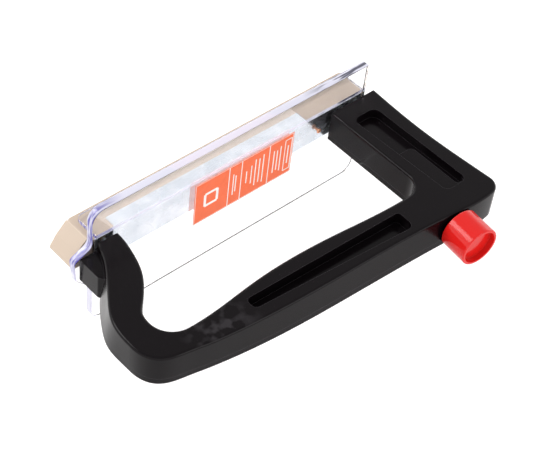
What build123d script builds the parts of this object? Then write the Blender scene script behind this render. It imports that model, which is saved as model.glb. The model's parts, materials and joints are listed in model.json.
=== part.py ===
from build123d import *
import math
import os

# D-handled back saw for a miter box, lying on its side. Millimetres.
# Modelling axes: X runs along the fence from the toe (left) to the heel (right), Y points from
# the handle through the fence to the teeth, and Z points out of the side that faces up.
# Y = 0 is the handle side of the clear fence and Z = 0 is the upper side of the frame.
# place() moves every piece so that the bottom centre of the whole saw is the origin.

# Frame
FRAME_T = 25.0            # thickness of the closed D-frame
COVER_T = 4.5             # the part of that thickness that belongs to the lower cover
WALL = 3.0                # moulded wall
MID_Z = -FRAME_T / 2
BODY_BOTTOM = COVER_T - FRAME_T
TOE_LEG = 17.0            # width of the toe leg where it meets the fence
HEEL_IN = 210.0           # heel leg, inner side
HEEL_OUT = 253.7          # heel leg, outer side
EDGE_R = 2.0              # rounding of the upper edges
ROOM_STEPS = 12           # pieces in each curve of the inner wall
FOOT_LEFT = -14.5         # toe foot beside the leg
FOOT_BACK = -19.5
FOOT_JOIN = (-11.5, -24)  # where the foot's side runs into the leg
FOOT_TOP = -6.0
FLOOR_T = 1.5             # floors and walls of the recesses

# Fence (clear plate with a rib along its far side)
FENCE_T = 6.0
FENCE_TOP = 29.0
FENCE_BOTTOM = -75.5
FENCE_LEFT = -4.5
FENCE_RIGHT = 243.0
FENCE_R = 9.5             # corner radius
TAB_LEFT = -19.0          # tab that covers the toe foot
FENCE_CHAMFER = 0.6
RIB_LEFT = 0.5
RIB_Z = 1.4               # lower face of the rib
RIB_T = 3.0
RIB_REACH = 25.0

# Spine angle behind the fence
SPINE_T = 1.2
SPINE_TOP = 1.3
SPINE_DROP = 22.5
SPINE_LEFT = 0.0
SPINE_RIGHT = 242.0
LEDGE_LEFT = 17.0
LEDGE_RIGHT = 188.0
LEDGE_REACH = 17.0
SPINE_FAR = FENCE_T + SPINE_T

# Blade, its folded back and the guard over its teeth
BLADE_T = 0.8
BLADE_Z = -9.0
BLADE_LEFT = 16.0
BLADE_RIGHT = 212.0
BLADE_ROOT = 11.0
BLADE_EDGE = 25.0
TOOTH_PITCH = 2.0
TOOTH_H = 1.6
BACK_T = 5.0
BACK_NEAR = 9.2
BACK_FAR = 17.2
BACK_LEFT = 14.0
BACK_RIGHT = 214.0
HEEL_TAB_T = 1.5
HEEL_TAB_RIGHT = 234.0
HEEL_TAB_Z = (-15.9, -2.2)
GUARD_T = 18.0
GUARD_WALL = 2.0
GUARD_EDGE_R = 1.2
GUARD_NEAR = 7.6
GUARD_FAR = 30.0
GUARD_LEFT = -3.0
GUARD_RIGHT = 247.5
NOSE_TIP = -17.0
CLIP_W = 8.0
CLIP_T = 0.4
CLIP_X = (50, 178)
NOSE_STEP = (5.5, -8.5)   # where the nose changes slope, from its tip

# Clamp: the knob draws a headed rod through the heel leg
ROD_TILT = 6.0            # degrees between the rod and the Y axis
SEAT_X = 212.24
SEAT_Y = -128.0
ROD_D = 6.0
RUN = 0.05                # radial running clearance
BOSS_D = 16.0
BOSS_ROOT = -8.5          # the boss starts inside the grip wall
KNOB_D = 30.0
KNOB_H = 21.5
KNOB_WALL = 2.0
KNOB_EDGE_R = 0.9
KNOB_WEB = 17.0           # floor of the dish in the knob's outer end
KNOB_WEB_T = 2.5
KNOB_HUB_D = 15.0         # hub around the threaded insert
INSERT_D = 10.0
INSERT_H = 8.0
WASHER_D = 12.0
WASHER_T = 1.6
SPRING_D = 9.0            # mean coil diameter
SPRING_WIRE = 1.0
SPRING_OUTER = -9.5       # distances along the rod, measured from the seat towards the knob
SPRING_INNER = -29.5
SPRING_TURNS = 6
SPRING_SEAT_D = 13.0      # moulded seat inside the wall that the spring pushes on
COLLAR_T = 1.5
COLLAR_D = 11.0
BUSH_OUTER = -119.9
BUSH_INNER = -127.9
BUSH_D = 9.0
HEAD_W = 13.0
HEAD_H = 6.4
HEAD_T = 3.0

KNOB_SKIRT = -1.3
ROD_INNER = -142.5
ROD_OUTER = 9.2
ROD_AT_FENCE = SEAT_X - SEAT_Y * math.tan(math.radians(ROD_TILT))
ROD_AT_HEAD = ROD_AT_FENCE + SPINE_FAR * math.tan(math.radians(ROD_TILT))

# Label on the fence
LABEL_LEFT = 82.8
LABEL_RIGHT = 173.7
LABEL_TOP = 2.5
LABEL_BOTTOM = -36.0
LABEL_T = 0.15

# Fasteners
COVER_SCREW_AT = [(8, -13), (-24, -80), (30, -99), (192, -106), (245, -113), (245, -9)]
FENCE_SCREW_AT = [(8.5, -5), (8.5, -12.9), (238, -5), (238, -12.9)]
RIVET_AT = (199, -10.9)
BLADE_RIVET_X = [40, 114, 188]

POST_R = 3.75
SCREW_R = 1.45
SCREW_HEAD_R = 2.8
SCREW_SINK = 2.2
SCREW_TOP = -6.0
COVER_FLOOR = -FRAME_T + 2.5
INSERT_R = 2.5
INSERT_L = 9.0
SCREW_M3 = 1.5
RIVET_R = 1.0
RIVET_HEAD_R = 1.9
RIVET_HEAD_T = 0.8
BLADE_RIVET_R = 1.5
BLADE_RIVET_Y = BACK_FAR - 2.5
M3_HEAD_R = 2.7
M3_HEAD_T = 1.8

# Bottom centre of the whole saw in the modelling axes
CENTRE_X = 110.035
CENTRE_Y = -60.43
CENTRE_Z = FENCE_BOTTOM


def place(shape):
    return Pos(-CENTRE_X, -CENTRE_Y, -CENTRE_Z) * shape


def box(x, y, z):
    """Box between two corners, each axis given as (low, high)."""
    size = [high - low for low, high in (x, y, z)]
    centre = [(high + low) / 2 for low, high in (x, y, z)]
    return Pos(*centre) * Box(*size)


def slab(face, low, high):
    """Face drawn at Z = 0, extruded between two heights."""
    return Pos(0, 0, low) * extrude(face, high - low, dir=(0, 0, 1))


def along_y(radius, x, z, low, high):
    """Cylinder parallel to Y between two Y values."""
    centre = Pos(x, (low + high) / 2, z) * Rot(90, 0, 0)
    return centre * Cylinder(radius, high - low)


def along_z(radius, x, y, low, high):
    return Pos(x, y, (low + high) / 2) * Cylinder(radius, high - low)


def rod_location():
    tilt = math.radians(ROD_TILT)
    outward = (-math.sin(tilt), -math.cos(tilt), 0)
    return Plane(origin=(SEAT_X, SEAT_Y, MID_Z), x_dir=(0, 0, 1), z_dir=outward).location


def on_rod(radius, low, high):
    """Cylinder on the rod's axis; distances grow from the seat towards the knob's rim."""
    return rod_location() * Pos(0, 0, (low + high) / 2) * Cylinder(radius, high - low)


def rod_bore(radius):
    """Bore on the rod's axis that passes right through any piece on it."""
    return on_rod(radius, -200, 20)


def rounded(corners):
    """Closed face through (u, v, radius) corners, each rounded by its own radius."""
    face = make_face(Polyline([(u, v) for u, v, radius in corners], close=True))
    for u, v, radius in corners:
        if radius:
            corner = face.vertices().sort_by_distance((u, v, 0))[0]
            face = fillet(corner, radius)
    return face


def grown(face, margin):
    return offset(face, margin) if margin else face


def frame_face(flare=0):
    """Outline of the D-frame, open towards the fence; flare is 0 at its top and 1 at its underside."""
    toe_end = (0, 0)
    toe_low = (-14.4, -72)
    grip_toe = (2, -89.3)
    grip_heel = (196, -92)
    heel_low = (HEEL_IN, -78)
    corner_up = (256, -114)
    corner_down = (247, -125.1)
    bend = (-4, -106)
    widest = (-35.8, -79)
    bend_way = (-1, 0.24)
    corner_way = (0.08, -1)
    toe_arc = TangentArc(toe_low, grip_toe, tangent=(0, -1))
    heel_arc = TangentArc(heel_low, grip_heel, tangent=(0, -1))
    corner_arc = TangentArc(corner_up, corner_down, tangent=corner_way)
    toe_inner = Spline((TOE_LEG, 0), (14.3, -19), (7, -38.5), (-8.5, -57.5), toe_low,
                       tangents=[(0, -1), (0, -1)])
    grip_inner = Spline(grip_toe, (60, -85.8), (125, -86.8), grip_heel,
                        tangents=[toe_arc % 1, -(heel_arc % 1)])
    heel_outer = Spline((HEEL_OUT, 0), (252, -52), corner_up, tangents=[(-0.06, -1), corner_way])
    grip_outer = Spline(corner_down, (198, -122.2 - 2 * flare), (117, -117.4 - 2.5 * flare),
                        (41, -112.8 - 1.2 * flare), bend,
                        tangents=[corner_arc % 1, bend_way])
    toe_corner = Spline(bend, (-24, -100.8), widest, tangents=[bend_way, (0, 1)])
    toe_outer = Spline(widest, (-32.3 - 2.5 * flare, -56), (-21.5 - 5 * flare, -38.5),
                       (-8.3 - 4 * flare, -19), toe_end,
                       tangents=[(0, 1), (0.33, 1)])
    return make_face(Wire([
        Line(toe_end, (TOE_LEG, 0)), toe_inner, toe_arc, grip_inner, heel_arc,
        Line(heel_low, (HEEL_IN, 0)), Line((HEEL_IN, 0), (HEEL_OUT, 0)),
        heel_outer, corner_arc, grip_outer, toe_corner, toe_outer,
    ]))


def frame_solid(low, high):
    """Slice of the unhollowed frame; its outer wall flares towards the underside."""
    whole = loft([Pos(0, 0, -FRAME_T) * frame_face(1), frame_face(0)], ruled=True)
    return whole & box((-60, 300), (-200, 50), (low, high))


def frame_room():
    """Outline of the hollow inside the frame's wall, redrawn as plain lines, arcs and splines."""
    edges = []
    for edge in offset(frame_face(), -WALL).edges():
        if edge.geom_type in (GeomType.LINE, GeomType.CIRCLE):
            edges.append(edge)
        else:
            points = [edge @ (step / ROOM_STEPS) for step in range(ROOM_STEPS + 1)]
            edges.append(Spline(*points, tangents=[edge % 0, edge % 1]))
    return make_face(Wire(edges))


def foot_face():
    """Foot that widens the toe leg to the left, beside the fence."""
    return rounded([(FOOT_LEFT, 0, 0), (FOOT_LEFT, FOOT_BACK, 2), (*FOOT_JOIN, 0),
                    (4, FOOT_JOIN[1], 0), (4, 0, 0)])


def heel_recess(margin=0):
    """Plan of the recess in the heel leg."""
    return grown(rounded([(218, -14, 6), (240, -14, 6), (241, -105, 5), (221, -105, 5)]), margin)


def heel_recess_deep(margin=0):
    """Deep part: full width near the fence, then a channel along the outer side."""
    corners = [(218, -14, 6), (240, -14, 6), (241, -103, 3), (234, -103, 3), (234, -58, 4), (219.5, -58, 4)]
    return grown(rounded(corners), margin)


def grip_recess(margin=0):
    """Tapering recess along the grip."""
    return grown(rounded([(45, -94.5, 3.5), (179, -99.2, 3), (178.5, -115, 5), (45, -104, 3.5)]), margin)


# Each recess in the frame's upper side with its depth
RECESSES = [(heel_recess, 2.5), (heel_recess_deep, 7.5), (grip_recess, 9.0)]


def frame_body():
    """Upper moulding: hollow from below, with recesses, screw posts and the rod's seat."""
    solid = frame_solid(BODY_BOTTOM, 0)
    rim = solid.faces().sort_by(Axis.Z)[-1].edges()
    body = fillet([edge for edge in rim if edge.center().Y < -1], EDGE_R)
    inside = slab(frame_room(), BODY_BOTTOM, -WALL)
    body -= inside
    body += slab(foot_face(), BODY_BOTTOM, FOOT_TOP) - inside
    # floors and walls of the recesses
    for recess, depth in RECESSES:
        body += slab(recess(FLOOR_T), -depth - FLOOR_T, -WALL)
    for recess, depth in RECESSES:
        body -= slab(recess(), -depth, 1)
    # posts for the cover screws and for the fence inserts
    for x, y in COVER_SCREW_AT:
        body += along_z(POST_R, x, y, BODY_BOTTOM, -WALL) & solid
        body -= along_z(SCREW_R + RUN, x, y, BODY_BOTTOM, SCREW_TOP)
    for x, z in FENCE_SCREW_AT:
        body += along_y(INSERT_R + 1.5, x, z, -INSERT_L - 1.5, -1) & solid
        body -= along_y(INSERT_R, x, z, -INSERT_L, 0)
    # rod: seats outside and inside the grip wall, sleeve for the bush at the fence
    body += on_rod(BOSS_D / 2, BOSS_ROOT, 0)
    body += on_rod(SPRING_SEAT_D / 2, SPRING_OUTER, BOSS_ROOT + 1) & solid
    body += on_rod(BUSH_D / 2 + 2.5, BUSH_INNER, BUSH_OUTER + 1) & solid
    body -= on_rod(ROD_D / 2 + RUN, -20, 2)
    body -= on_rod(BUSH_D / 2, BUSH_INNER - 5, BUSH_OUTER)
    body -= on_rod(ROD_D / 2 + 1, BUSH_OUTER - 1, BUSH_OUTER + 4)
    return body


def frame_cover():
    """Lower moulding that closes the frame."""
    cover = frame_solid(-FRAME_T, BODY_BOTTOM) + slab(foot_face(), -FRAME_T, BODY_BOTTOM)
    inside = slab(frame_room(), COVER_FLOOR, BODY_BOTTOM)
    for x, y in COVER_SCREW_AT:
        inside -= along_z(POST_R, x, y, COVER_FLOOR, BODY_BOTTOM)
    cover -= inside
    for x, y in COVER_SCREW_AT:
        cover -= along_z(SCREW_R + 0.2, x, y, -FRAME_T - 1, BODY_BOTTOM + 1)
        cover -= along_z(SCREW_HEAD_R + 0.3, x, y, -FRAME_T - 1, -FRAME_T + SCREW_SINK)
    return cover


def cover_screws():
    """Self-tapping pan-head screws, driven from below."""
    screws = []
    for x, y in COVER_SCREW_AT:
        screw = along_z(SCREW_HEAD_R, x, y, -FRAME_T + 0.3, -FRAME_T + SCREW_SINK)
        screw += along_z(SCREW_R, x, y, -FRAME_T + SCREW_SINK, SCREW_TOP - 0.5)
        for angle in (0, 90):
            screw -= Pos(x, y, -FRAME_T + 0.5) * Rot(0, 0, angle) * Box(3.2, 0.8, 1.6)
        screws.append(screw)
    return Compound(children=screws)


def fence_outline():
    """Clear plate seen along Y, with its tab over the toe foot."""
    return rounded([
        (FENCE_LEFT, FENCE_TOP, FENCE_R),
        (FENCE_RIGHT, FENCE_TOP, 1),
        (FENCE_RIGHT, FENCE_BOTTOM, FENCE_R),
        (FENCE_LEFT, FENCE_BOTTOM, FENCE_R),
        (FENCE_LEFT, -40, 6),
        (TAB_LEFT + 2, -27, 4),
        (TAB_LEFT, -8, 4),
        (FENCE_LEFT, -1, 6),
    ])


def rivet_hole():
    return along_y(RIVET_R, *RIVET_AT, -1, SPINE_FAR + 1)


def rod_hole():
    return along_y(ROD_D / 2 + 1, ROD_AT_FENCE, MID_Z, -1, SPINE_FAR + 1)


def clear_fence():
    """Clear acrylic plate with a rib that lies over the spine and the guard."""
    fence = extrude(Plane.XZ * fence_outline(), FENCE_T, dir=(0, 1, 0))
    fence = chamfer(fence.edges().filter_by(Axis.X).group_by(Axis.Z)[-1], FENCE_CHAMFER)
    rib = rounded([(RIB_LEFT, FENCE_T - 1, 0), (FENCE_RIGHT, FENCE_T - 1, 0),
                   (FENCE_RIGHT, RIB_REACH, 3), (RIB_LEFT, RIB_REACH, 5)])
    fence += slab(rib, RIB_Z, RIB_Z + RIB_T)
    for x, z in FENCE_SCREW_AT:
        fence -= along_y(SCREW_M3 + 0.2, x, z, -1, FENCE_T + 1)
    return fence - rivet_hole() - rod_hole()


def spine_angle():
    """Bright zinc-plated angle that carries the blade's back behind the fence."""
    web = rounded([(SPINE_LEFT, SPINE_TOP, 0), (SPINE_RIGHT, SPINE_TOP, 0),
                   (SPINE_RIGHT, -SPINE_DROP, 3), (SPINE_LEFT, -SPINE_DROP, 3)])
    angle = extrude(Plane.XZ.offset(-FENCE_T) * web, SPINE_T, dir=(0, 1, 0))
    angle += box((LEDGE_LEFT, LEDGE_RIGHT), (FENCE_T, LEDGE_REACH), (SPINE_TOP - SPINE_T, SPINE_TOP))
    for x, z in FENCE_SCREW_AT:
        angle -= along_y(SCREW_M3 + 0.2, x, z, FENCE_T - 1, SPINE_FAR + 1)
    return angle - rivet_hole() - rod_hole()


def spine_rivet():
    """Small copper rivet that joins the fence to the spine near the heel."""
    x, z = RIVET_AT
    rivet = along_y(RIVET_R, x, z, 0, SPINE_FAR)
    head = along_y(RIVET_HEAD_R, x, z, -RIVET_HEAD_T, 0)
    head = fillet(head.faces().sort_by(Axis.Y)[0].edges(), 0.6 * RIVET_HEAD_T)
    tail = along_y(RIVET_HEAD_R, x, z, SPINE_FAR, SPINE_FAR + RIVET_HEAD_T)
    return rivet + head + tail


def fence_inserts():
    """Knurled brass inserts in the ends of the legs."""
    inserts = []
    for x, z in FENCE_SCREW_AT:
        insert = along_y(INSERT_R, x, z, -INSERT_L, 0)
        inserts.append(insert - along_y(SCREW_M3, x, z, -INSERT_L - 1, 1))
    return Compound(children=inserts)


def fence_screws():
    """Machine screws from the far side through spine and fence into the inserts."""
    screws = []
    for x, z in FENCE_SCREW_AT:
        screw = along_y(SCREW_M3, x, z, -INSERT_L + 1, SPINE_FAR)
        screw += along_y(M3_HEAD_R, x, z, SPINE_FAR, SPINE_FAR + M3_HEAD_T)
        screw -= Pos(x, SPINE_FAR + M3_HEAD_T, z) * Box(3.5, 1.6, 0.8)
        screws.append(screw)
    return Compound(children=screws)


def blade_back():
    """Folded steel back that stiffens the blade, with a flat tab that the rod clamps."""
    back = box((BACK_LEFT, BACK_RIGHT), (BACK_NEAR, BACK_FAR), (BLADE_Z - BACK_T / 2, BLADE_Z + BACK_T / 2))
    folds = back.edges().filter_by(Axis.X).group_by(Axis.Y)[0]
    back = fillet(folds, 1.5)
    back -= box((BACK_LEFT - 1, BACK_RIGHT + 1), (BLADE_ROOT, BACK_FAR + 1),
                (BLADE_Z - BLADE_T / 2, BLADE_Z + BLADE_T / 2))
    back += box((BACK_RIGHT - 4, HEEL_TAB_RIGHT), (SPINE_FAR, SPINE_FAR + HEEL_TAB_T), HEEL_TAB_Z)
    back += box((BACK_RIGHT - 4, BACK_RIGHT - 1), (SPINE_FAR, BLADE_ROOT - 0.5), (BLADE_Z - 1, BLADE_Z + 1))
    for x in BLADE_RIVET_X:
        back -= along_z(BLADE_RIVET_R, x, BLADE_RIVET_Y, -20, 0)
    back -= along_y(ROD_D / 2 + 0.8, ROD_AT_HEAD, MID_Z, SPINE_FAR - 1, BACK_FAR)
    return back - box((ROD_AT_HEAD, HEEL_TAB_RIGHT + 1), (SPINE_FAR - 1, BACK_FAR),
                      (MID_Z - ROD_D / 2 - 0.8, MID_Z + ROD_D / 2 + 0.8))


def saw_blade():
    """Hardened strip with a row of teeth along its far edge."""
    teeth = int((BLADE_RIGHT - BLADE_LEFT) / TOOTH_PITCH)
    edge = [(BLADE_LEFT, BLADE_EDGE - TOOTH_H)]
    for tooth in range(teeth):
        x = BLADE_LEFT + tooth * TOOTH_PITCH
        edge.append((x + 0.7 * TOOTH_PITCH, BLADE_EDGE))
        edge.append((x + TOOTH_PITCH, BLADE_EDGE - TOOTH_H))
    strip = Polyline((BLADE_RIGHT, BLADE_ROOT), (BLADE_LEFT, BLADE_ROOT), *edge, close=True)
    blade = slab(make_face(strip), BLADE_Z - BLADE_T / 2, BLADE_Z + BLADE_T / 2)
    for x in BLADE_RIVET_X:
        blade -= along_z(BLADE_RIVET_R, x, BLADE_RIVET_Y, -20, 0)
    return blade


def blade_rivets():
    """Flush rivets through the folded back and the blade."""
    half = BACK_T / 2
    rivets = [along_z(BLADE_RIVET_R, x, BLADE_RIVET_Y, BLADE_Z - half, BLADE_Z + half)
              for x in BLADE_RIVET_X]
    return Compound(children=rivets)


def blade_guard():
    """Cream sheath over the blade, open towards the fence."""
    plan = rounded([(GUARD_LEFT, GUARD_NEAR, 0), (GUARD_RIGHT, GUARD_NEAR, 0),
                    (GUARD_RIGHT, GUARD_FAR, 4), (GUARD_LEFT, GUARD_FAR, 3)])
    guard = slab(plan, -GUARD_T, 0)
    guard = fillet(guard.faces().sort_by(Axis.Y)[-1].edges().filter_by(Axis.X), GUARD_EDGE_R)
    room = ((GUARD_LEFT + GUARD_WALL, GUARD_RIGHT - GUARD_WALL),
            (GUARD_NEAR - 1, GUARD_FAR - GUARD_WALL),
            (-GUARD_T + GUARD_WALL, -GUARD_WALL))
    return guard - box(*room)


def guard_nose():
    """Ramped toe cap on the left end of the guard, in two slopes."""
    profile = make_face(Polyline((GUARD_LEFT, 0), (GUARD_LEFT, -GUARD_T), (NOSE_TIP, -GUARD_T),
                                 (NOSE_TIP + 0.5, -GUARD_T + 2), (NOSE_TIP + NOSE_STEP[0], NOSE_STEP[1]),
                                 close=True))
    nose = extrude(Plane.XZ.offset(-GUARD_NEAR) * profile, GUARD_FAR - GUARD_NEAR, dir=(0, 1, 0))
    far = nose.faces().sort_by(Axis.Y)[-1].edges()
    free = far.filter_by(lambda edge: edge.center().X < GUARD_LEFT - 0.5)
    return fillet(free.filter_by(lambda edge: edge.center().Z > 0.5 - GUARD_T), GUARD_EDGE_R)


def guard_clips():
    """Spring-steel clips inside the guard that grip the blade's back."""
    half = BACK_T / 2 + RUN
    clips = []
    for x in CLIP_X:
        outer = box((x - CLIP_W / 2, x + CLIP_W / 2), (BACK_NEAR + 3, GUARD_FAR - GUARD_WALL),
                    (BLADE_Z - half - CLIP_T, BLADE_Z + half + CLIP_T))
        inner = box((x - CLIP_W, x + CLIP_W), (0, GUARD_FAR - GUARD_WALL - CLIP_T),
                    (BLADE_Z - half, BLADE_Z + half))
        clips.append(outer - inner)
    return Compound(children=clips)


def clamp_rod():
    """Steel rod with a flat T-head behind the blade's heel tab."""
    head_near = SPINE_FAR + HEEL_TAB_T
    head_far = head_near + HEAD_T
    rod = on_rod(ROD_D / 2, ROD_INNER, ROD_OUTER)
    rod -= box((HEEL_IN, HEEL_OUT), (head_far, head_far + 20), (-FRAME_T, 0))
    head = box((ROD_AT_HEAD - HEAD_W / 2, ROD_AT_HEAD + HEAD_W / 2), (head_near, head_far),
               (MID_Z - HEAD_H / 2, MID_Z + HEAD_H / 2))
    return rod + fillet(head.edges().filter_by(Axis.Y), 1.5)


def spring_collar():
    return on_rod(COLLAR_D / 2, SPRING_INNER - COLLAR_T, SPRING_INNER) - rod_bore(ROD_D / 2)


def release_spring():
    """Compression spring that pushes the rod towards the fence when the knob is loosened."""
    length = SPRING_OUTER - SPRING_INNER - SPRING_WIRE
    path = Helix(pitch=length / SPRING_TURNS, height=length, radius=SPRING_D / 2)
    profile = Plane(origin=path @ 0, z_dir=path % 0) * Circle(SPRING_WIRE / 2)
    return rod_location() * Pos(0, 0, SPRING_INNER + SPRING_WIRE / 2) * sweep(profile, path=path)


def rod_bush():
    return on_rod(BUSH_D / 2, BUSH_INNER, BUSH_OUTER) - rod_bore(ROD_D / 2 + RUN)


def thrust_washer():
    return on_rod(WASHER_D / 2, 0, WASHER_T) - rod_bore(ROD_D / 2 + 0.2)


def clamp_knob():
    """Cup-shaped knob with a shallow dish outside and a hub inside; its skirt hides the seat."""
    inner = KNOB_D / 2 - KNOB_WALL
    knob = rod_location() * Pos(0, 0, KNOB_SKIRT) * Cylinder(
        KNOB_D / 2, KNOB_H - KNOB_SKIRT, align=(Align.CENTER, Align.CENTER, Align.MIN))
    knob = fillet(knob.edges().filter_by(GeomType.CIRCLE), KNOB_EDGE_R)
    knob -= on_rod(inner, KNOB_WEB, KNOB_H + 1)
    knob -= on_rod(inner, KNOB_SKIRT - 1, KNOB_WEB - KNOB_WEB_T)
    knob += on_rod(KNOB_HUB_D / 2, WASHER_T, KNOB_WEB - KNOB_WEB_T + 1)
    return knob - on_rod(INSERT_D / 2, -5, WASHER_T + INSERT_H)


def knob_insert():
    insert = on_rod(INSERT_D / 2, WASHER_T, WASHER_T + INSERT_H)
    return insert - rod_bore(ROD_D / 2 + RUN)


def spec_label():
    return box((LABEL_LEFT, LABEL_RIGHT), (-LABEL_T, 0), (LABEL_BOTTOM, LABEL_TOP))


PIECES = [frame_body, frame_cover, cover_screws, clear_fence, spine_angle, spine_rivet, fence_inserts,
          fence_screws, blade_back, saw_blade, blade_rivets, blade_guard, guard_nose, guard_clips,
          clamp_rod, spring_collar, release_spring, rod_bush, thrust_washer, clamp_knob, knob_insert,
          spec_label]

os.makedirs("parts", exist_ok=True)
for piece in PIECES:
    export_step(place(piece()), f"parts/{piece.__name__}.step")
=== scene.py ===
import json
import math

import bmesh
import bpy
from mathutils import Matrix, Vector


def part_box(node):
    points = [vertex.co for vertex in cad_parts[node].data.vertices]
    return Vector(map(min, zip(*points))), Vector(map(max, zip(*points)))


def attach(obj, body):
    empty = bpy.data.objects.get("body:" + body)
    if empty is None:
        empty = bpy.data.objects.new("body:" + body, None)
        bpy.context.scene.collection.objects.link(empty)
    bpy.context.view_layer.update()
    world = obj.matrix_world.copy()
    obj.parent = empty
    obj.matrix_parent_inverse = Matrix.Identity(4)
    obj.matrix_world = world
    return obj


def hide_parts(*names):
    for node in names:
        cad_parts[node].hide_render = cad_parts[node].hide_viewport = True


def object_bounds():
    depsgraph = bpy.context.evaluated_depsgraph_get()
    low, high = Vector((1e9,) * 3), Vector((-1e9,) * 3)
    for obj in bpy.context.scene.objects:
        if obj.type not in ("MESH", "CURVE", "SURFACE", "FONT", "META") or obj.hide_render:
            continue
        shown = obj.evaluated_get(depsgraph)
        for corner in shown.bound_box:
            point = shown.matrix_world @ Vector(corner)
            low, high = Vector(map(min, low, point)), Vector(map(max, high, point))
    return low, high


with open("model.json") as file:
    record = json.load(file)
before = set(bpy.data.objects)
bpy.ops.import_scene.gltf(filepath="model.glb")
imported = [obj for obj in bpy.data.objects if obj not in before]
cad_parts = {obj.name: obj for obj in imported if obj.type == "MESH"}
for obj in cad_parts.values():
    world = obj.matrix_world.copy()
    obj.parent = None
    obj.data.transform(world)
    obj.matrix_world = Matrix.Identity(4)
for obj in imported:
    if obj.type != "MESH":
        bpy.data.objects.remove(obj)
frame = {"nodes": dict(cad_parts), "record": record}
cad_low, cad_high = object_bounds()

MM = 0.001

# Clear plate: its corners, and its tab measured down from the frame's top
GAP = 0.05 * MM            # air between the plate and the steel behind it
FENCE_R = 9.5 * MM
HEEL_R = 1 * MM            # upper corner at the heel
TAB_REACH = 14.5 * MM      # how far the tab reaches past the plate's toe end
TAB_SLANT = 2 * MM
TAB_DOWN = (1 * MM, 8 * MM, 27 * MM, 40 * MM)
TAB_R = 4 * MM
TAB_ROOT_R = 6 * MM
RIB_Z = 1.4 * MM           # above the frame's top
RIB_T = 3 * MM
RIB_INSET = 5 * MM
RIB_R = (3 * MM, 5 * MM)
FENCE_BEVEL = 0.35 * MM
RIB_BEVEL = 0.25 * MM

# Print on the label; shares are of its width, from the heel end
INK_PROUD = 0.06 * MM
INK_SUNK = 0.02 * MM
LABEL_INSET = 0.5 * MM
LABEL_LINE = 0.35 * MM
DIVIDERS = (0.25, 0.535, 0.66)
HEADER_SHARE = 0.085
HEADER_INSET = 4 * MM
HEADER_BAR_INSET = (2.6 * MM, 6 * MM)
# (place of the row, its length as a share of the label's height)
TEXT_ROWS = [(0.13, 0.62), (0.165, 0.5), (0.20, 0.56), (0.31, 0.7), (0.35, 0.6), (0.39, 0.66),
             (0.43, 0.45), (0.48, 0.3), (0.59, 0.4), (0.615, 0.52)]
ROW_HALF = 0.45 * MM
MARK_SHARE = 0.835
MARK_REACH = 5.5 * MM
MARK_STROKE = 1.1 * MM
PRINT_BEVEL = 0.01 * MM

# Camera: place and direction in the row frame, metres and degrees
CAMERA_AT = (-0.5358, -0.4828, 0.8262)
CAMERA_AZIMUTH = -47.46
CAMERA_ELEVATION = 46.25
CAMERA_ROLL = -7.58
CAMERA_LENS = 102.35
SENSOR_WIDTH = 36

SKY = 0.95
CEILING_LOW = 3.0          # brightness in reflections near the horizon
CEILING_HIGH = 1.3         # and overhead
FLOOR_GLOW = 0.62          # light that the floor gives off, so shadows on it stay faint
FLOOR_DROP = 0.3 * MM
LOOK_AT = Vector((0, 0, 0.06))

# Colours, linear
BLACK = (0.0035, 0.0022, 0.0030)
# painted highlight colour for the black plastic's sharp edges and its pale patches
BLACK_EDGE_HIGHLIGHT = (0.042, 0.038, 0.042)
CREAM = (0.50, 0.40, 0.315)
RED = (0.62, 0.012, 0.010)
ORANGE = (0.90, 0.15, 0.042)
# painted light on the plate's cut edge: lilac for the light it gathers, a violet tint at the toe, slate for
# dark reflected streaks at the heel
LILAC = (0.80, 0.79, 0.92)
VIOLET = (0.10, 0.08, 0.42)
SLATE = (0.05, 0.05, 0.09)
PAPER = (0.90, 0.87, 0.84)

ACRYLIC_IOR = 1.49
FILM_BACK_PAINTED_GLOW = 0.7            # painted glow on the label's back, standing in for light that comes through it
# width of the painted highlight along sharp edges
EDGE_HIGHLIGHT_WIDTH = 0.5 * MM
# soft pale patches of painted reflection on the black top near the toe bend
PATCH_REFLECTION_REACH = 30 * MM
PATCH_REFLECTION_AT = (54 * MM, 24 * MM)  # middle of the painted reflection patches, from the frame's toe and grip sides


# --- node helpers ---------------------------------------------------------------------------

def new_material(name, colour, roughness, metallic=0.0):
    """Material with one principled shader; returns it with its node tree and that shader."""
    made = bpy.data.materials.new(name)
    made.use_nodes = True
    tree = made.node_tree
    shader = tree.nodes["Principled BSDF"]
    shader.inputs["Base Color"].default_value = (*colour, 1)
    shader.inputs["Roughness"].default_value = roughness
    shader.inputs["Metallic"].default_value = metallic
    return made, tree, shader


def object_coords(tree):
    return tree.nodes.new("ShaderNodeTexCoord").outputs["Object"]


def axes_of(tree, vector):
    made = tree.nodes.new("ShaderNodeSeparateXYZ")
    tree.links.new(vector, made.inputs["Vector"])
    return made.outputs


def noise(tree, scale, detail=4.0, stretch=(1, 1, 1)):
    """Noise in object space; stretch multiplies how often it repeats along each axis."""
    mapping = tree.nodes.new("ShaderNodeMapping")
    mapping.inputs["Scale"].default_value = stretch
    made = tree.nodes.new("ShaderNodeTexNoise")
    made.inputs["Scale"].default_value = scale
    made.inputs["Detail"].default_value = detail
    tree.links.new(object_coords(tree), mapping.inputs["Vector"])
    tree.links.new(mapping.outputs["Vector"], made.inputs["Vector"])
    return made.outputs["Fac"]


def spread(tree, value, low, high, start=0.35, end=0.65):
    """Maps a value from start..end to low..high."""
    made = tree.nodes.new("ShaderNodeMapRange")
    made.inputs["From Min"].default_value = start
    made.inputs["From Max"].default_value = end
    made.inputs["To Min"].default_value = low
    made.inputs["To Max"].default_value = high
    tree.links.new(value, made.inputs["Value"])
    return made.outputs["Result"]


def combined(tree, operation, first, second):
    """MULTIPLY, MAXIMUM and the like of two values."""
    made = tree.nodes.new("ShaderNodeMath")
    made.operation = operation
    tree.links.new(first, made.inputs[0])
    tree.links.new(second, made.inputs[1])
    return made.outputs["Value"]


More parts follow.
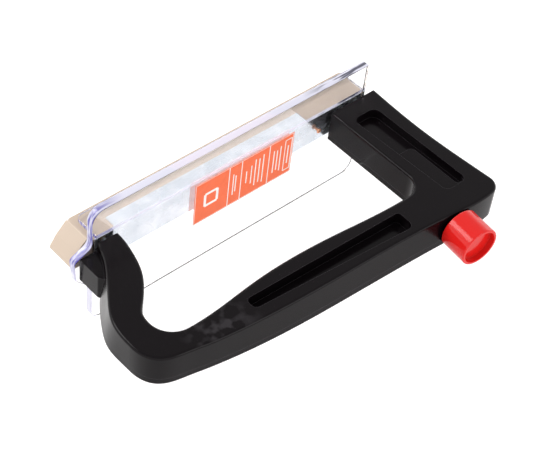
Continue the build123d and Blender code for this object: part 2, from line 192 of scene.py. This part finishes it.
def mixed_colour(tree, factor, first, second):
    """Mix of two colours, each a tuple or the output of another node."""
    made = tree.nodes.new("ShaderNodeMix")
    made.data_type = "RGBA"
    for name, colour in (("A", first), ("B", second)):
        if isinstance(colour, tuple):
            made.inputs[name].default_value = (*colour, 1)
        else:
            tree.links.new(colour, made.inputs[name])
    tree.links.new(factor, made.inputs["Factor"])
    return made.outputs["Result"]


def by_ray(tree, kind, usual, special, output):
    """Sends one kind of ray to the special shader and all others to the usual one."""
    path = tree.nodes.new("ShaderNodeLightPath")
    choice = tree.nodes.new("ShaderNodeMixShader")
    tree.links.new(path.outputs[kind], choice.inputs["Fac"])
    tree.links.new(usual, choice.inputs[1])
    tree.links.new(special, choice.inputs[2])
    tree.links.new(choice.outputs["Shader"], tree.nodes[output].inputs["Surface"])


def add_bump(tree, shader, height, strength, depth):
    """Bump whose full depth is given in metres."""
    made = tree.nodes.new("ShaderNodeBump")
    made.inputs["Strength"].default_value = strength
    made.inputs["Distance"].default_value = depth
    tree.links.new(height, made.inputs["Height"])
    tree.links.new(made.outputs["Normal"], shader.inputs["Normal"])


def edge_highlight_mask(tree):
    """Mask for a painted highlight: 0 on flats, 1 along sharp edges, where a slightly rounded normal leaves
    the true one.
    """
    rounded = tree.nodes.new("ShaderNodeBevel")
    rounded.inputs["Radius"].default_value = EDGE_HIGHLIGHT_WIDTH
    geometry = tree.nodes.new("ShaderNodeNewGeometry")
    agreement = tree.nodes.new("ShaderNodeVectorMath")
    agreement.operation = "DOT_PRODUCT"
    tree.links.new(rounded.outputs["Normal"], agreement.inputs[0])
    tree.links.new(geometry.outputs["Normal"], agreement.inputs[1])
    return spread(tree, agreement.outputs["Value"], 1, 0, 0.90, 0.985)


def with_patch_reflection(tree, painted_highlight, strength):
    """Adds soft patches of painted reflection on top of the bend between the grip and the toe leg to a
    painted highlight factor.
    """
    low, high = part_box("frame_body")
    coords = object_coords(tree)
    away = tree.nodes.new("ShaderNodeVectorMath")
    away.operation = "DISTANCE"
    away.inputs[1].default_value = (low.x + PATCH_REFLECTION_AT[0], low.y + PATCH_REFLECTION_AT[1], high.z)
    tree.links.new(coords, away.inputs[0])
    near = spread(tree, away.outputs["Value"], strength, 0, PATCH_REFLECTION_REACH * 0.3, PATCH_REFLECTION_REACH)
    on_top = spread(tree, axes_of(tree, coords)["Z"], 0, 1, high.z - 1 * MM, high.z - 0.2 * MM)
    patches = spread(tree, noise(tree, 130, 1.5), 0, 1, 0.48, 0.62)
    patch_reflection = combined(tree, "MULTIPLY", combined(tree, "MULTIPLY", near, on_top), patches)
    return combined(tree, "MAXIMUM", patch_reflection, painted_highlight)


# --- materials ------------------------------------------------------------------------------

def moulded_plastic(name, colour, highlight_and_mottle_tone, roughness, grain_depth=0.03 * MM, gloss_level=0.5, patch_reflection=0.0):
    """Moulded plastic: fine grain, uneven gloss, a painted highlight along its sharp edges and, if asked,
    soft patches of painted reflection.
    """
    made, tree, shader = new_material(name, colour, roughness)
    shader.inputs["Specular IOR Level"].default_value = gloss_level
    painted_highlight = edge_highlight_mask(tree)
    if patch_reflection:
        painted_highlight = with_patch_reflection(tree, painted_highlight, patch_reflection)
    # the second colour is painted light: a highlight along sharp edges, and the patch reflection where
    # asked
    tree.links.new(mixed_colour(tree, painted_highlight, colour, highlight_and_mottle_tone), shader.inputs["Base Color"])
    gloss = spread(tree, noise(tree, 45, 3), roughness * 0.8, roughness * 1.3)
    tree.links.new(gloss, shader.inputs["Roughness"])
    add_bump(tree, shader, noise(tree, 2600, 2), 0.25, grain_depth)
    return made


def metal(name, colour, dark, roughness, stretch=(1, 1, 1), scratch_scale=900):
    """Metal with slight tarnish and uneven gloss: fine scratches, or clouds at a small scale."""
    made, tree, shader = new_material(name, colour, roughness, metallic=1.0)
    scratches = noise(tree, scratch_scale, 5, stretch)
    tarnish = spread(tree, noise(tree, 60, 4), 0, 0.5)
    tree.links.new(mixed_colour(tree, tarnish, colour, dark), shader.inputs["Base Color"])
    tree.links.new(spread(tree, scratches, roughness * 0.7, roughness * 1.5), shader.inputs["Roughness"])
    add_bump(tree, shader, scratches, 0.2, 0.02 * MM)
    return made


def clear_acrylic():
    """Clear plate that bends what lies behind it; shadows pass straight through."""
    made, tree, shader = new_material("clear_acrylic", (0.99, 0.99, 1.0), 0.01)
    shader.inputs["Transmission Weight"].default_value = 1
    shader.inputs["IOR"].default_value = ACRYLIC_IOR
    haze = noise(tree, 70, 3)
    tree.links.new(spread(tree, haze, 0, 0.03), shader.inputs["Roughness"])
    tint = mixed_colour(tree, spread(tree, haze, 0, 1), (0.99, 0.99, 1.0), (0.97, 0.97, 0.985))
    tree.links.new(tint, shader.inputs["Base Color"])
    through = tree.nodes.new("ShaderNodeBsdfTransparent")
    by_ray(tree, "Is Shadow Ray", shader.outputs["BSDF"], through.outputs["BSDF"], "Material Output")
    return made


def acrylic_edge():
    """Cut edge of the plate, its light painted into its colour: pale lilac where it gathers light, painted
    dark reflected streaks at the heel, a painted violet tint at the toe.
    """
    made, tree, shader = new_material("acrylic_edge", LILAC, 0.08)
    shader.inputs["Transmission Weight"].default_value = 0.25
    place = axes_of(tree, object_coords(tree))
    low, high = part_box("clear_fence")
    frame_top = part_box("frame_body")[1].z
    # painted violet tint near the toe, fading downwards
    near_toe = spread(tree, place["X"], 1, 0, low.x + 16 * MM, low.x + 42 * MM)
    near_top = spread(tree, place["Z"], 0.1, 1, frame_top - 30 * MM, frame_top - 8 * MM)
    violet_bands = spread(tree, noise(tree, 90, 4, (0.5, 6, 1)), 0.15, 1, 0.40, 0.58)
    violet = combined(tree, "MULTIPLY", combined(tree, "MULTIPLY", near_toe, near_top), violet_bands)
    # painted dark reflections in streaks near the heel
    near_heel = spread(tree, place["X"], 0, 0.95, high.x - 62 * MM, high.x - 30 * MM)
    streaks = spread(tree, noise(tree, 160, 4, (0.25, 3, 1)), 0, 1, 0.46, 0.56)
    dark = combined(tree, "MULTIPLY", near_heel, streaks)
    tint = mixed_colour(tree, dark, mixed_colour(tree, violet, LILAC, VIOLET), SLATE)
    tree.links.new(tint, shader.inputs["Base Color"])
    add_bump(tree, shader, noise(tree, 400, 3, (0.1, 1, 1)), 0.2, 0.05 * MM)
    return made


def printed_film(name, colour, highlight_and_mottle_tone):
    """Printed film: slightly mottled ink under a thin gloss, with a painted glow on its back so that it
    shows pale in the steel.
    """
    made, tree, shader = new_material(name, colour, 0.38)
    shader.inputs["Specular IOR Level"].default_value = 0.25
    # painted glow: faces towards the back give off paper-coloured light
    geometry = tree.nodes.new("ShaderNodeNewGeometry")
    facing_back = axes_of(tree, geometry.outputs["Normal"])["Y"]
    painted_glow = spread(tree, facing_back, 0, FILM_BACK_PAINTED_GLOW, 0.5, 0.9)
    shader.inputs["Emission Color"].default_value = (*PAPER, 1)
    tree.links.new(painted_glow, shader.inputs["Emission Strength"])
    mottle = noise(tree, 320, 5)
    ink = mixed_colour(tree, spread(tree, mottle, 0, 0.35), colour, highlight_and_mottle_tone)
    tree.links.new(ink, shader.inputs["Base Color"])
    tree.links.new(spread(tree, noise(tree, 90, 3), 0.3, 0.45), shader.inputs["Roughness"])
    add_bump(tree, shader, mottle, 0.15, 0.01 * MM)
    return made


def paint_cad_nodes(materials):
    """Gives every CAD node the material of its slot in the record."""
    for part in frame["record"]["subparts"]:
        node = frame["nodes"][part["node"]]
        node.data.materials.clear()
        node.data.materials.append(materials[part["material_slot"]])


def all_materials():
    # each moulded plastic's second colour is a painted highlight along its sharp edges
    return {
        # the last number is the strength of the painted reflection patches on the black top
        "black_plastic": moulded_plastic("black_plastic", BLACK, BLACK_EDGE_HIGHLIGHT, 0.16, 0.02 * MM, 0.10, 0.55),
        "clear_acrylic": clear_acrylic(),
        "acrylic_edge": acrylic_edge(),
        "bright_zinc": metal("bright_zinc", (0.86, 0.90, 0.94), (0.50, 0.58, 0.66), 0.22, scratch_scale=45),
        "zinc_steel": metal("zinc_steel", (0.66, 0.68, 0.70), (0.42, 0.43, 0.45), 0.28),
        "blade_steel": metal("blade_steel", (0.60, 0.61, 0.63), (0.36, 0.36, 0.37), 0.3, (0.05, 1, 1)),
        "spring_steel": metal("spring_steel", (0.33, 0.33, 0.34), (0.16, 0.15, 0.15), 0.35),
        "copper": metal("copper", (0.74, 0.36, 0.22), (0.40, 0.19, 0.12), 0.3),
        "brass": metal("brass", (0.78, 0.56, 0.24), (0.50, 0.34, 0.14), 0.3),
        "cream_plastic": moulded_plastic("cream_plastic", CREAM, (0.62, 0.53, 0.44), 0.42, 0.04 * MM),
        "red_plastic": moulded_plastic("red_plastic", RED, (0.80, 0.06, 0.045), 0.12, gloss_level=0.22),
        "orange_label": printed_film("orange_label", ORANGE, (0.80, 0.12, 0.04)),
        "label_white": printed_film("label_white", PAPER, (0.78, 0.74, 0.70)),
    }


# --- pieces ---------------------------------------------------------------------------------

def add_block(mesh, low, high):
    """Adds one box to a bmesh between two corners."""
    size = [b - a for a, b in zip(low, high)]
    centre = [(a + b) / 2 for a, b in zip(low, high)]
    bmesh.ops.create_cube(mesh, size=1, matrix=Matrix.Translation(centre) @ Matrix.Diagonal((*size, 1)))


def finish_piece(mesh, name, materials, bevel):
    """Turns a bmesh into a bevelled object that rides on the saw's body."""
    data = bpy.data.meshes.new(name)
    mesh.to_mesh(data)
    mesh.free()
    for material in materials:
        data.materials.append(material)
    piece = bpy.data.objects.new(name, data)
    bpy.context.scene.collection.objects.link(piece)
    rounding = piece.modifiers.new("rounding", "BEVEL")
    rounding.width = bevel
    rounding.segments = 2
    rounding.limit_method = "ANGLE"
    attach(piece, "saw")
    return piece


def rounded_outline(corners, steps=8):
    """Points of a closed outline through (u, v, radius) corners, each corner an arc."""
    points = []
    for index, (u, v, radius) in enumerate(corners):
        here = Vector((u, v))
        if radius == 0:
            points.append(here)
            continue
        before = (Vector(corners[index - 1][:2]) - here).normalized()
        after = (Vector(corners[(index + 1) % len(corners)][:2]) - here).normalized()
        half = before.angle(after) / 2
        centre = here + (before + after).normalized() * radius / math.sin(half)
        start = here + before * radius / math.tan(half) - centre
        sweep = (here + after * radius / math.tan(half) - centre).angle_signed(start)
        for step in range(steps + 1):
            points.append(centre + Matrix.Rotation(sweep * step / steps, 2) @ start)
    return points


def extruded(points, low, high, to_space):
    """Bmesh prism: the outline's flat ends take material 0 and its sides take material 1."""
    mesh = bmesh.new()
    near = [mesh.verts.new(to_space(point, low)) for point in points]
    far = [mesh.verts.new(to_space(point, high)) for point in points]
    mesh.faces.new(near)
    mesh.faces.new(list(reversed(far)))
    for index in range(len(points)):
        after = (index + 1) % len(points)
        side = mesh.faces.new((near[after], near[index], far[index], far[after]))
        side.material_index = 1
        side.smooth = True
    bmesh.ops.recalc_face_normals(mesh, faces=mesh.faces)
    return mesh


def fence_plate(materials):
    """Clear plate with its tab in place of the CAD fence, a hair clear of the steel behind it."""
    low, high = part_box("clear_fence")
    frame_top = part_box("frame_body")[1].z
    left = low.x + TAB_REACH
    tab = [frame_top - down for down in TAB_DOWN]
    outline = rounded_outline([
        (left, high.z, FENCE_R), (high.x, high.z, HEEL_R), (high.x, low.z, FENCE_R), (left, low.z, FENCE_R),
        (left, tab[3], TAB_ROOT_R), (low.x + TAB_SLANT, tab[2], TAB_R),
        (low.x, tab[1], TAB_R), (left, tab[0], TAB_ROOT_R)])
    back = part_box("spine_angle")[0].y - GAP
    mesh = extruded(outline, low.y, back, lambda point, y: (point.x, y, point.y))
    # only the edges that face up or towards the toe get the painted light of the cut edge; the others stay
    # clear
    for face in mesh.faces:
        if face.normal.z < 0.3 and face.normal.x > -0.3:
            face.material_index = 0
    plate = finish_piece(mesh, "fence_plate", materials, FENCE_BEVEL)
    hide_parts("clear_fence")


def fence_rib(materials):
    """Rib behind the plate that lies over the steel and the guard."""
    low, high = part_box("clear_fence")
    left = low.x + TAB_REACH + RIB_INSET
    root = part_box("spine_angle")[0].y
    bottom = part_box("frame_body")[1].z + RIB_Z
    outline = rounded_outline([(left, root, 0), (high.x, root, 0), (high.x, high.y, RIB_R[0]),
                               (left, high.y, RIB_R[1])])
    mesh = extruded(outline, bottom, bottom + RIB_T, lambda point, z: (point.x, point.y, z))
    finish_piece(mesh, "fence_rib", materials, RIB_BEVEL)


def label_print(white):
    """Generic print on the label: a border, three dividers, a header, rows of bars and a mark."""
    low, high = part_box("spec_label")
    width = high.x - low.x
    middle = (low.z + high.z) / 2
    left, right = low.x + LABEL_INSET, high.x - LABEL_INSET
    bottom, top = low.z + LABEL_INSET, high.z - LABEL_INSET
    mesh = bmesh.new()

    def bar(x0, x1, z0, z1):
        add_block(mesh, (x0, low.y - INK_PROUD, z0), (x1, low.y + INK_SUNK, z1))

    def box_of_strokes(x, z, half):
        for a in x:
            bar(a - half, a + half, *z)
        for b in z:
            bar(*x, b - half, b + half)

    # border
    bar(left, left + LABEL_LINE, bottom, top)
    bar(right - LABEL_LINE, right, bottom, top)
    bar(left, right, bottom, bottom + LABEL_LINE)
    bar(left, right, top - LABEL_LINE, top)
    for share in DIVIDERS:
        x = high.x - share * width
        bar(x - LABEL_LINE, x + LABEL_LINE, bottom, top)
    # header box at the heel end with one bar in it
    header_x = (high.x - HEADER_SHARE * width, right - 3 * LABEL_LINE)
    header_z = (bottom + HEADER_INSET, top - HEADER_INSET)
    box_of_strokes(header_x, header_z, LABEL_LINE)
    in_x, in_z = HEADER_BAR_INSET
    bar(header_x[0] + in_x, header_x[1] - in_x, header_z[0] + in_z, header_z[1] - in_z)
    # rows of bars stand for text
    for share, length in TEXT_ROWS:
        x = high.x - share * width
        half = length * (high.z - low.z) / 2
        bar(x - ROW_HALF, x + ROW_HALF, middle - half, middle + half)
    # plain square mark at the toe end
    mark = high.x - MARK_SHARE * width
    box_of_strokes((mark - MARK_REACH, mark + MARK_REACH), (middle - MARK_REACH, middle + MARK_REACH),
                   MARK_STROKE)
    finish_piece(mesh, "label_print", [white], PRINT_BEVEL)


# --- stage ----------------------------------------------------------------------------------

def floor():
    """Plain pale floor just under the saw."""
    mesh = bmesh.new()
    bmesh.ops.create_grid(mesh, x_segments=8, y_segments=8, size=6)
    data = bpy.data.meshes.new("floor")
    mesh.to_mesh(data)
    mesh.free()
    made, tree, shader = new_material("floor", (0.6, 0.6, 0.6), 0.6)
    shade = mixed_colour(tree, noise(tree, 3, 2), (0.60, 0.60, 0.60), (0.58, 0.575, 0.575))
    tree.links.new(shade, shader.inputs["Base Color"])
    shader.inputs["Emission Color"].default_value = (1, 0.985, 0.98, 1)
    shader.inputs["Emission Strength"].default_value = FLOOR_GLOW
    data.materials.append(made)
    piece = bpy.data.objects.new("floor", data)
    piece.location.z = cad_low.z - FLOOR_DROP
    bpy.context.scene.collection.objects.link(piece)


def soft_light(name, at, size, power):
    """Square area light that looks at the middle of the saw."""
    data = bpy.data.lights.new(name, "AREA")
    data.size = size
    data.energy = power
    light = bpy.data.objects.new(name, data)
    light.location = at
    light.rotation_euler = (LOOK_AT - Vector(at)).to_track_quat("-Z", "Y").to_euler()
    bpy.context.scene.collection.objects.link(light)


def studio():
    """White surroundings, two soft lights, and a ceiling that only reflections see."""
    world = bpy.data.worlds.new("studio")
    world.use_nodes = True
    tree = world.node_tree
    sky = tree.nodes["Background"]
    sky.inputs["Color"].default_value = (1, 1, 1, 1)
    sky.inputs["Strength"].default_value = SKY
    # the ceiling is brightest near the horizon
    ceiling = tree.nodes.new("ShaderNodeBackground")
    direction = tree.nodes.new("ShaderNodeTexCoord").outputs["Generated"]
    brightness = spread(tree, axes_of(tree, direction)["Z"], CEILING_LOW, CEILING_HIGH, 0.25, 0.6)
    tree.links.new(brightness, ceiling.inputs["Strength"])
    by_ray(tree, "Is Glossy Ray", sky.outputs["Background"], ceiling.outputs["Background"], "World Output")
    bpy.context.scene.world = world
    bpy.context.scene.view_settings.view_transform = "Standard"
    soft_light("key", at=(-0.75, 0.95, 1.1), size=0.7, power=13)
    soft_light("fill", at=(0.4, -1.5, 0.6), size=0.9, power=6)


def camera():
    """Camera from its azimuth, elevation and roll."""
    data = bpy.data.cameras.new("camera")
    data.lens = CAMERA_LENS
    data.sensor_width = SENSOR_WIDTH
    made = bpy.data.objects.new("camera", data)
    azimuth, elevation = math.radians(CAMERA_AZIMUTH), math.radians(CAMERA_ELEVATION)
    back = Vector((math.sin(azimuth) * math.cos(elevation), -math.cos(azimuth) * math.cos(elevation),
                   math.sin(elevation)))
    level = (-back).to_track_quat("-Z", "Y").to_matrix().to_4x4()
    turn = Matrix.Rotation(math.radians(-CAMERA_ROLL), 4, "Z")
    made.matrix_world = Matrix.Translation(CAMERA_AT) @ level @ turn
    bpy.context.scene.collection.objects.link(made)
    bpy.context.scene.camera = made


materials = all_materials()
paint_cad_nodes(materials)
fence_plate([materials["clear_acrylic"], materials["acrylic_edge"]])
fence_rib([materials["clear_acrylic"], materials["acrylic_edge"]])
label_print(materials["label_white"])
floor()
studio()
camera()
